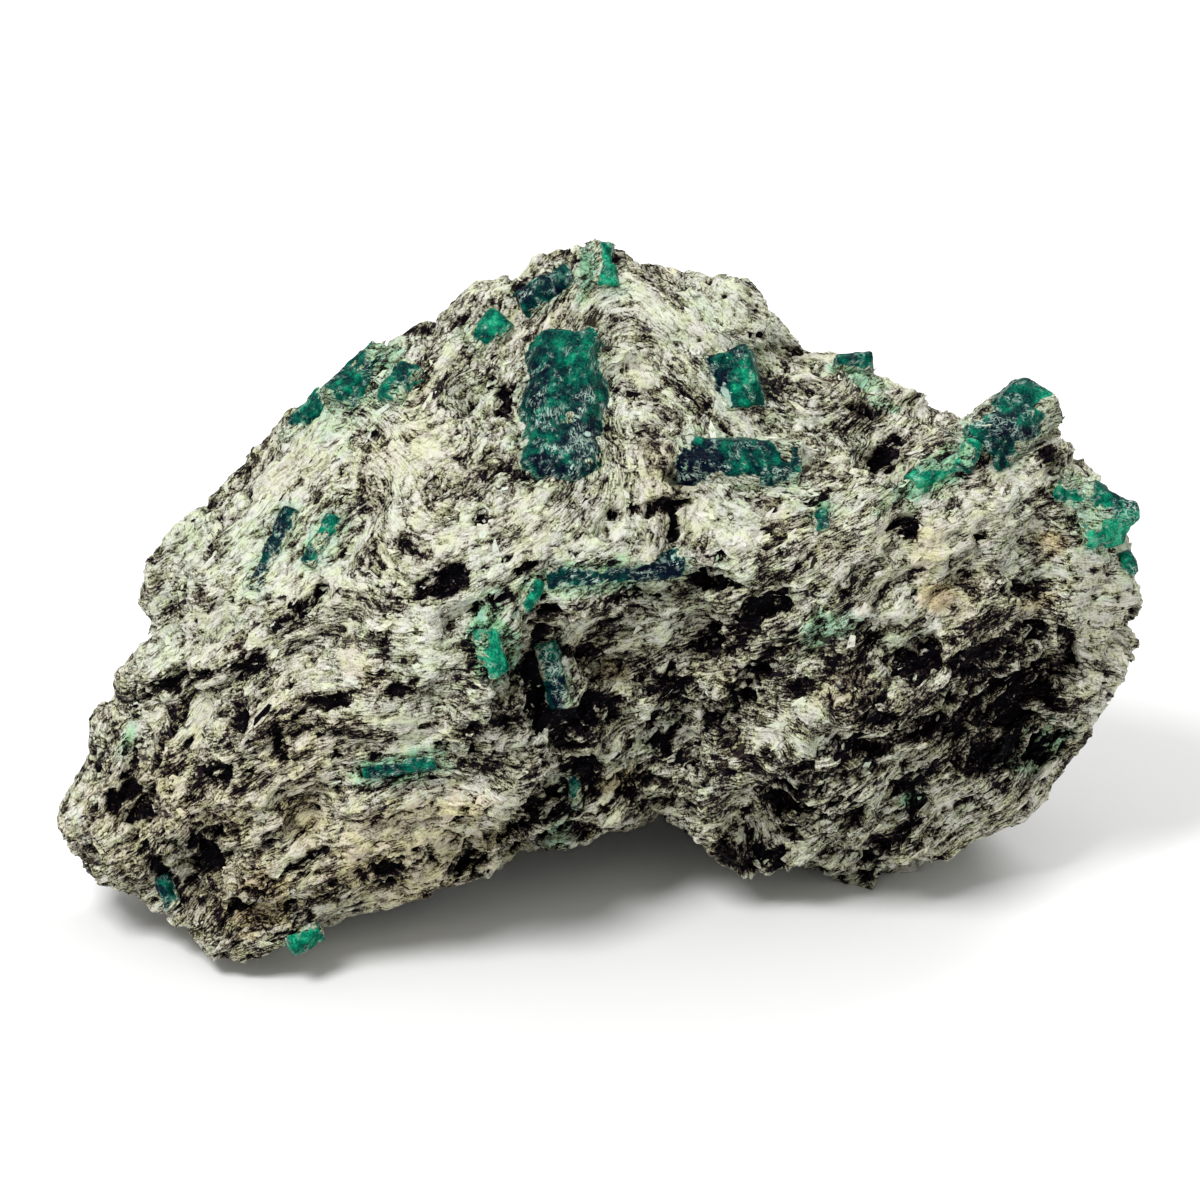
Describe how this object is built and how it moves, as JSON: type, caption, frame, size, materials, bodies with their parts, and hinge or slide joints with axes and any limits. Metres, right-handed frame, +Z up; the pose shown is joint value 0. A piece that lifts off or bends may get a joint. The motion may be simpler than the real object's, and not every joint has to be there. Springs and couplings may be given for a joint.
{
  "type": "emerald in matrix",
  "caption": "Hand specimen of silvery mica schist with green hexagonal emerald crystals set in its upper face, resting on its broken underside.",
  "frame": {"origin": "middle of the specimen's footprint, at the height of the pads that it rests on", "axes": "+X along the longest side, to the right when the crystal face is looked at, -Y towards the viewer of that face, +Z up as it rests"},
  "size_m": [0.0906, 0.0546, 0.0544],
  "materials": {
    "mica_schist": "satin",
    "emerald": "gloss"
  },
  "bodies": {
    "root": {"emerald_bead": "emerald", "emerald_cavity_blade": "emerald", "emerald_cavity_needle": "emerald", "emerald_chain": "emerald", "emerald_crest_bright": "emerald", "emerald_crest_dark": "emerald", "emerald_crest_left": "emerald", "emerald_east_bead": "emerald", "emerald_east_cluster": "emerald", "emerald_foot": "emerald", "emerald_foot_west": "emerald", "emerald_great_prism": "emerald", "emerald_horn": "emerald", "emerald_ridge_inner": "emerald", "emerald_ridge_lower": "emerald", "emerald_ridge_upper": "emerald", "emerald_seam_drop": "emerald", "emerald_seam_green": "emerald", "emerald_seam_long": "emerald", "emerald_skyline": "emerald", "emerald_slab_dark": "emerald", "emerald_slab_green": "emerald", "emerald_thin_west": "emerald", "emerald_twin_lower": "emerald", "emerald_twin_upper": "emerald", "schist_matrix": "mica_schist"}
  },
  "joints": []
}
